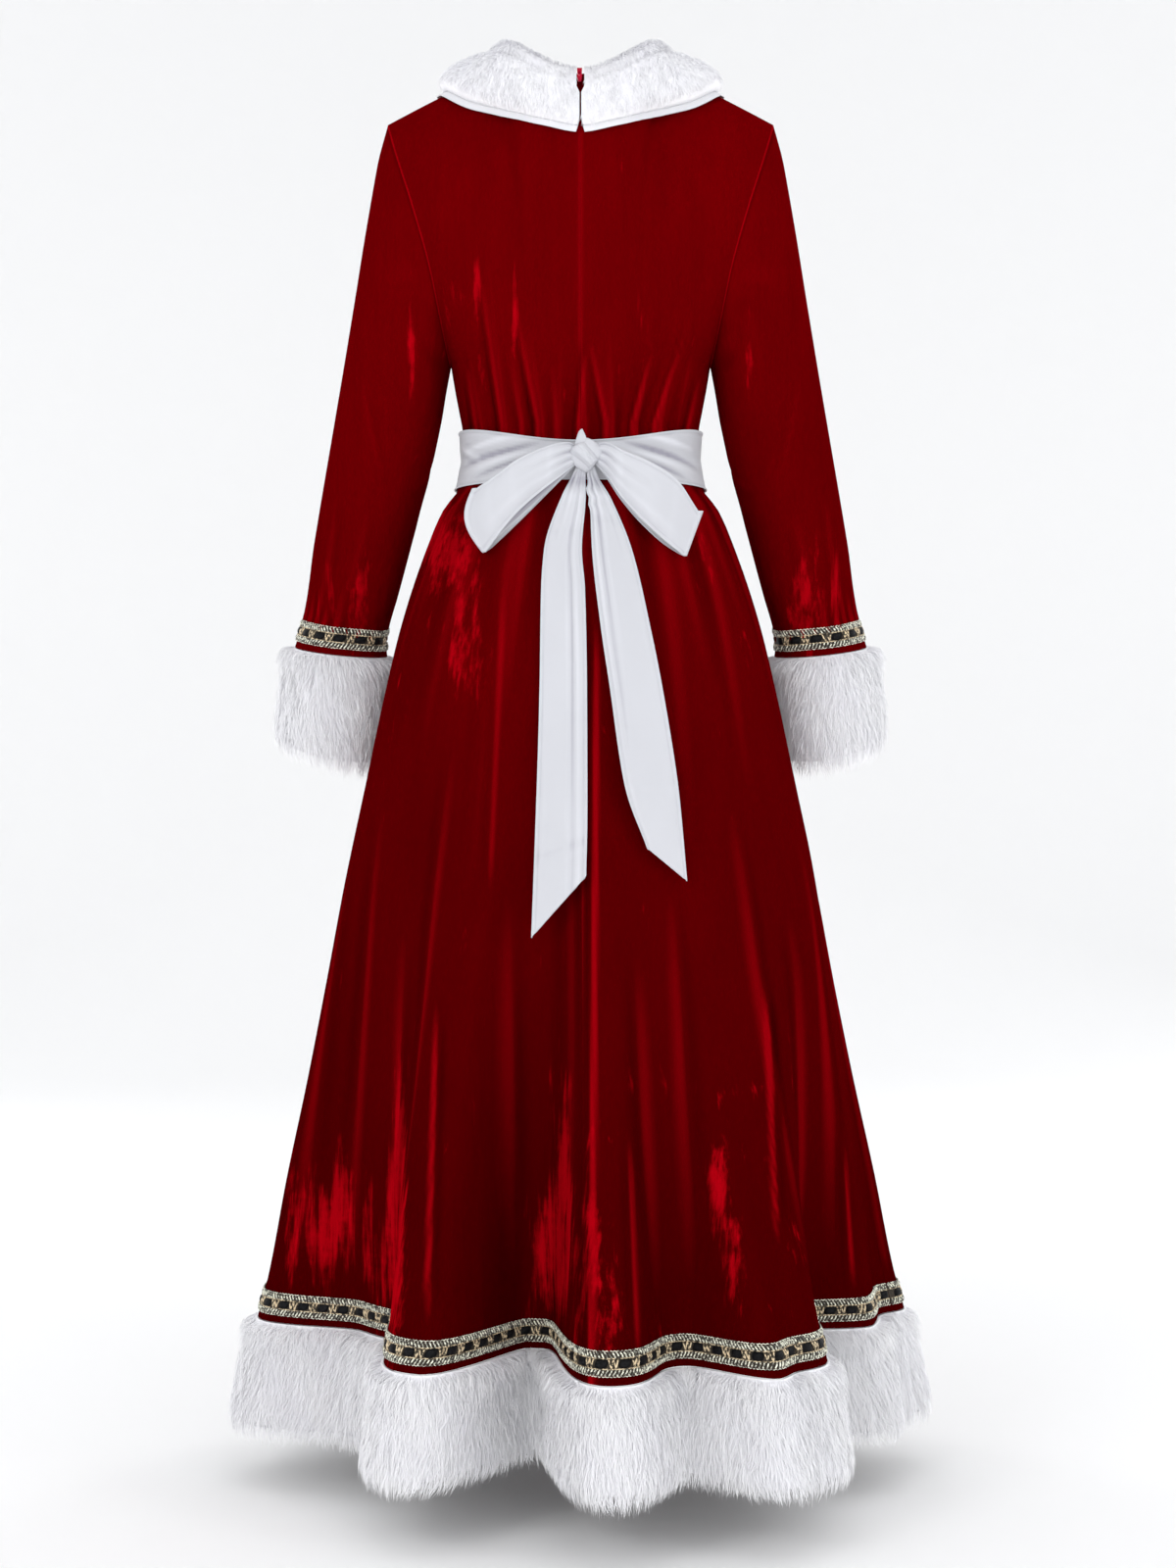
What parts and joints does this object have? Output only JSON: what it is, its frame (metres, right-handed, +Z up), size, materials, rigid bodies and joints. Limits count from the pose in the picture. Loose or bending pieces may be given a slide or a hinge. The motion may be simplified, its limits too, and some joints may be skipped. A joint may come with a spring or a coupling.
{
  "type": "velvet costume dress",
  "caption": "Long-sleeved, floor-length velvet costume dress, filled out as worn, with fur collar, cuffs and hem, woven braid, a back zip and a sash tied in a bow.",
  "frame": {"origin": "level with the neck end of the shoulder seams, in the middle of the dress, where the wearer's shoulders carry it", "axes": "+Z up, +Y towards the wearer's front, +X towards the wearer's right"},
  "size_m": [0.6903, 0.6159, 1.341],
  "materials": {
    "velvet": "deep red stretch velvet, short nap",
    "fur": "white faux fur",
    "under_collar": "white satin",
    "sash": "cool white, smooth and matte",
    "braid": "champagne gold woven braid with black ribbon threaded through it",
    "zip": "red enamel"
  },
  "bodies": {
    "dress": {"bodice_back_left": "velvet", "bodice_back_right": "velvet", "bodice_front": "velvet", "sleeve_left": "velvet", "sleeve_right": "velvet", "skirt_back_left": "velvet", "skirt_back_right": "velvet", "skirt_front": "velvet", "hem_braid_back_left": "braid", "hem_braid_back_right": "braid", "hem_braid_front": "braid", "hem_fur_back_left": "fur", "hem_fur_back_right": "fur", "hem_fur_front": "fur", "cuff_braid_left": "braid", "cuff_braid_right": "braid", "cuff_fur_left": "fur", "cuff_fur_right": "fur", "collar_fur_left": "fur", "collar_fur_right": "fur", "collar_under_left": "under_collar", "collar_under_right": "under_collar", "sash_band": "sash", "sash_knot": "sash", "sash_loop_left": "sash", "sash_loop_right": "sash", "sash_tail_left": "sash", "sash_tail_right": "sash", "zip_slider": "zip"},
    "pull": {"zip_pull": "zip"}
  },
  "joints": [
    {"name": "zip_pull_swing", "type": "hinge", "parent": "dress", "child": "pull", "pos_m": [-0.0008, -0.088, -0.0265], "axis": [-1, 0, 0], "range_deg": [0, 150]}
  ]
}
